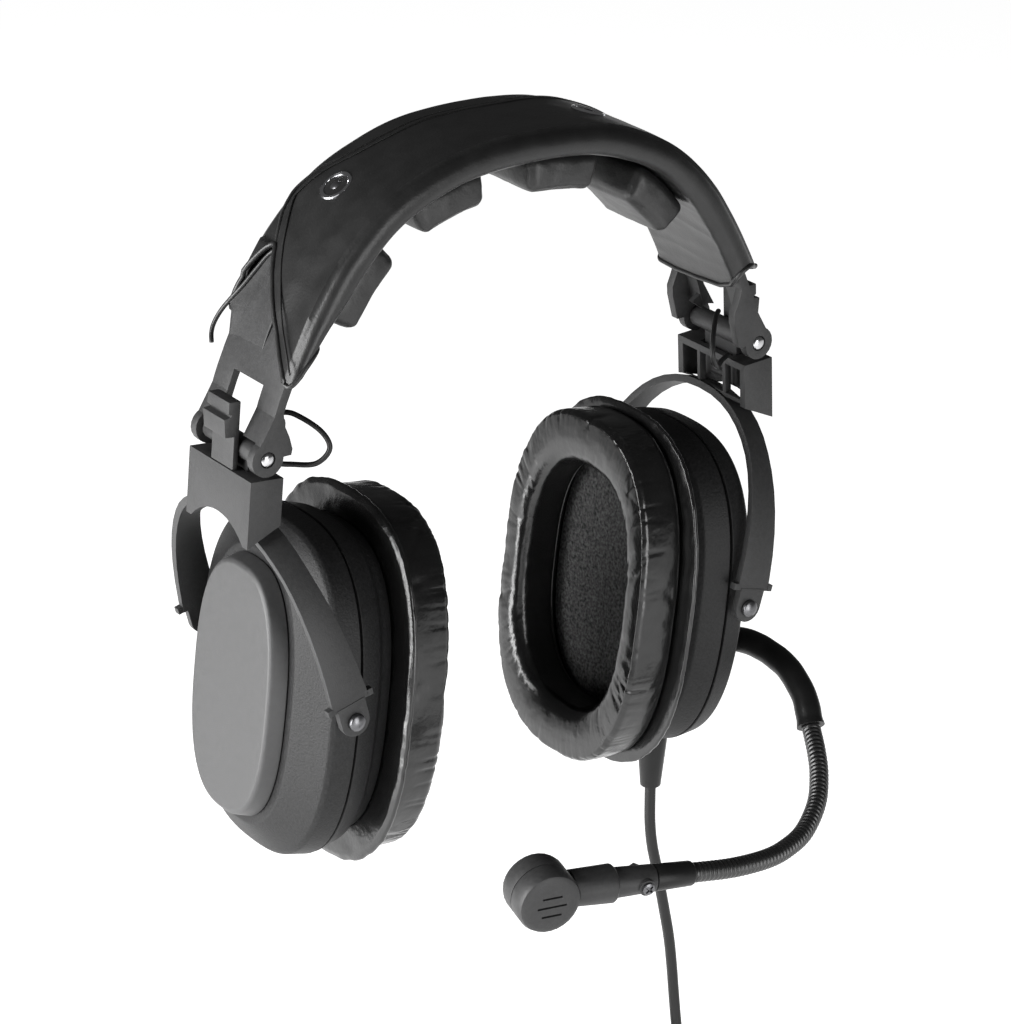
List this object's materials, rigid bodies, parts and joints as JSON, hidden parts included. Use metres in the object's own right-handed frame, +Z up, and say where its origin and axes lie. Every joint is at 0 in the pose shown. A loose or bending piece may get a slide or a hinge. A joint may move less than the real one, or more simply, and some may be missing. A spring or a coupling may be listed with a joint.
{
  "type": "headset microphone",
  "caption": "Over-ear crew headset with a padded sprung headband, tilting ear cups, a boom microphone on a gooseneck and a corded round connector.",
  "frame": {"origin": "the crown of the wearer's head, under the headband's pads", "axes": "+X to the wearer's left, the side with the boom and the cord; -Y where the wearer looks; +Z up"},
  "size_m": [0.1779, 0.1288, 0.4146],
  "materials": {
    "moulded_plastic": "fine-grained matte",
    "cap_plastic": "smooth satin",
    "leatherette": "satin, lightly grained",
    "cushion_skin": "shiny, wrinkled",
    "foam": "open matte",
    "soft_rubber": "matte",
    "cord_jacket": "satin",
    "gooseneck_skin": "matte black, ribbed",
    "chrome": "polished",
    "steel": "dull",
    "connector_metal": "satin black"
  },
  "bodies": {
    "headband": {"band_spring": "steel", "band_cover": "leatherette", "crown_pad_1": "foam", "crown_pad_2": "foam", "crown_pad_3": "foam", "crown_pad_4": "foam", "eyelet_left": "chrome", "band_end_left": "moulded_plastic", "hinge_pin_left": "chrome", "hinge_wire_left": "cord_jacket", "eyelet_right": "chrome", "band_end_right": "moulded_plastic", "hinge_pin_right": "chrome", "hinge_wire_right": "cord_jacket"},
    "link_left": {"link_left": "moulded_plastic"},
    "height_left": {"height_block_left": "moulded_plastic", "height_catch_left": "moulded_plastic"},
    "yoke_left": {"yoke_left": "moulded_plastic"},
    "cup_left": {"ear_cushion_left": "cushion_skin", "cushion_skirt_left": "cushion_skin", "driver_foam_left": "foam", "baffle_left": "moulded_plastic", "inner_shell_left": "moulded_plastic", "driver_left": "steel", "outer_shell_left": "moulded_plastic", "cup_cap_left": "cap_plastic", "pivot_rivet_front_left": "steel", "pivot_rivet_rear_left": "steel", "boom_turret": "moulded_plastic", "cord_run": "cord_jacket", "cord_coil": "cord_jacket", "coil_tie": "soft_rubber", "cord_tail": "cord_jacket", "plug_boot": "soft_rubber", "plug_shell": "connector_metal", "plug_insert": "soft_rubber", "cord_gland": "soft_rubber"},
    "link_right": {"link_right": "moulded_plastic"},
    "height_right": {"height_block_right": "moulded_plastic", "height_catch_right": "moulded_plastic"},
    "yoke_right": {"yoke_right": "moulded_plastic"},
    "cup_right": {"ear_cushion_right": "cushion_skin", "cushion_skirt_right": "cushion_skin", "driver_foam_right": "foam", "baffle_right": "moulded_plastic", "inner_shell_right": "moulded_plastic", "driver_right": "steel", "outer_shell_right": "moulded_plastic", "cup_cap_right": "cap_plastic", "pivot_rivet_front_right": "steel", "pivot_rivet_rear_right": "steel"},
    "boom": {"boom_sleeve": "soft_rubber", "gooseneck_lower": "gooseneck_skin"},
    "mic_arm": {"gooseneck_upper": "gooseneck_skin", "mic_ferrule": "soft_rubber", "mic_stem": "moulded_plastic", "stem_screw": "steel"},
    "mic_head": {"mic_neck": "moulded_plastic", "mic_housing": "moulded_plastic", "mic_grille": "moulded_plastic"}
  },
  "joints": [
    {"name": "left_arm_hinge", "type": "hinge", "parent": "headband", "child": "link_left", "pos_m": [0.0789, 0, -0.0516], "axis": [0, -1, 0], "range_deg": [-5, 7], "deforming": ["hinge_wire_left"]},
    {"name": "left_height_slide", "type": "slide", "parent": "link_left", "child": "height_left", "axis": [0.0732, 0, -0.9973], "range_m": [0, 0.008]},
    {"name": "left_yoke_rock", "type": "hinge", "parent": "height_left", "child": "yoke_left", "pos_m": [0.07824, 0.005, -0.10007], "axis": [1, 0, 0], "range_deg": [-3.5, 3.5]},
    {"name": "left_cup_tilt", "type": "hinge", "parent": "yoke_left", "child": "cup_left", "pos_m": [0.0644, 0.005, -0.1205], "axis": [0, -1, 0], "range_deg": [-6, 6]},
    {"name": "right_arm_hinge", "type": "hinge", "parent": "headband", "child": "link_right", "pos_m": [-0.0789, 0, -0.0516], "axis": [0, 1, 0], "range_deg": [-5, 7], "deforming": ["hinge_wire_right"]},
    {"name": "right_height_slide", "type": "slide", "parent": "link_right", "child": "height_right", "axis": [-0.0732, 0, -0.9973], "range_m": [0, 0.008]},
    {"name": "right_yoke_rock", "type": "hinge", "parent": "height_right", "child": "yoke_right", "pos_m": [-0.07824, 0.005, -0.10007], "axis": [1, 0, 0], "range_deg": [-3.5, 3.5]},
    {"name": "right_cup_tilt", "type": "hinge", "parent": "yoke_right", "child": "cup_right", "pos_m": [-0.0644, 0.005, -0.1205], "axis": [0, 1, 0], "range_deg": [-6, 6]},
    {"name": "boom_swivel", "type": "hinge", "parent": "cup_left", "child": "boom", "pos_m": [0.07605, 0.001, -0.14932], "axis": [-0.9949, 0, 0.1011], "range_deg": [-15, 25]},
    {"name": "gooseneck_bend", "type": "hinge", "parent": "boom", "child": "mic_arm", "pos_m": [0.05377, -0.07133, -0.17251], "axis": [0, 0, 1], "range_deg": [-10, 10]},
    {"name": "mic_twist", "type": "hinge", "parent": "mic_arm", "child": "mic_head", "pos_m": [-0.01251, -0.0758, -0.16342], "axis": [-0.9776, 0.1955, 0.0782], "range_deg": [-40, 40]}
  ]
}
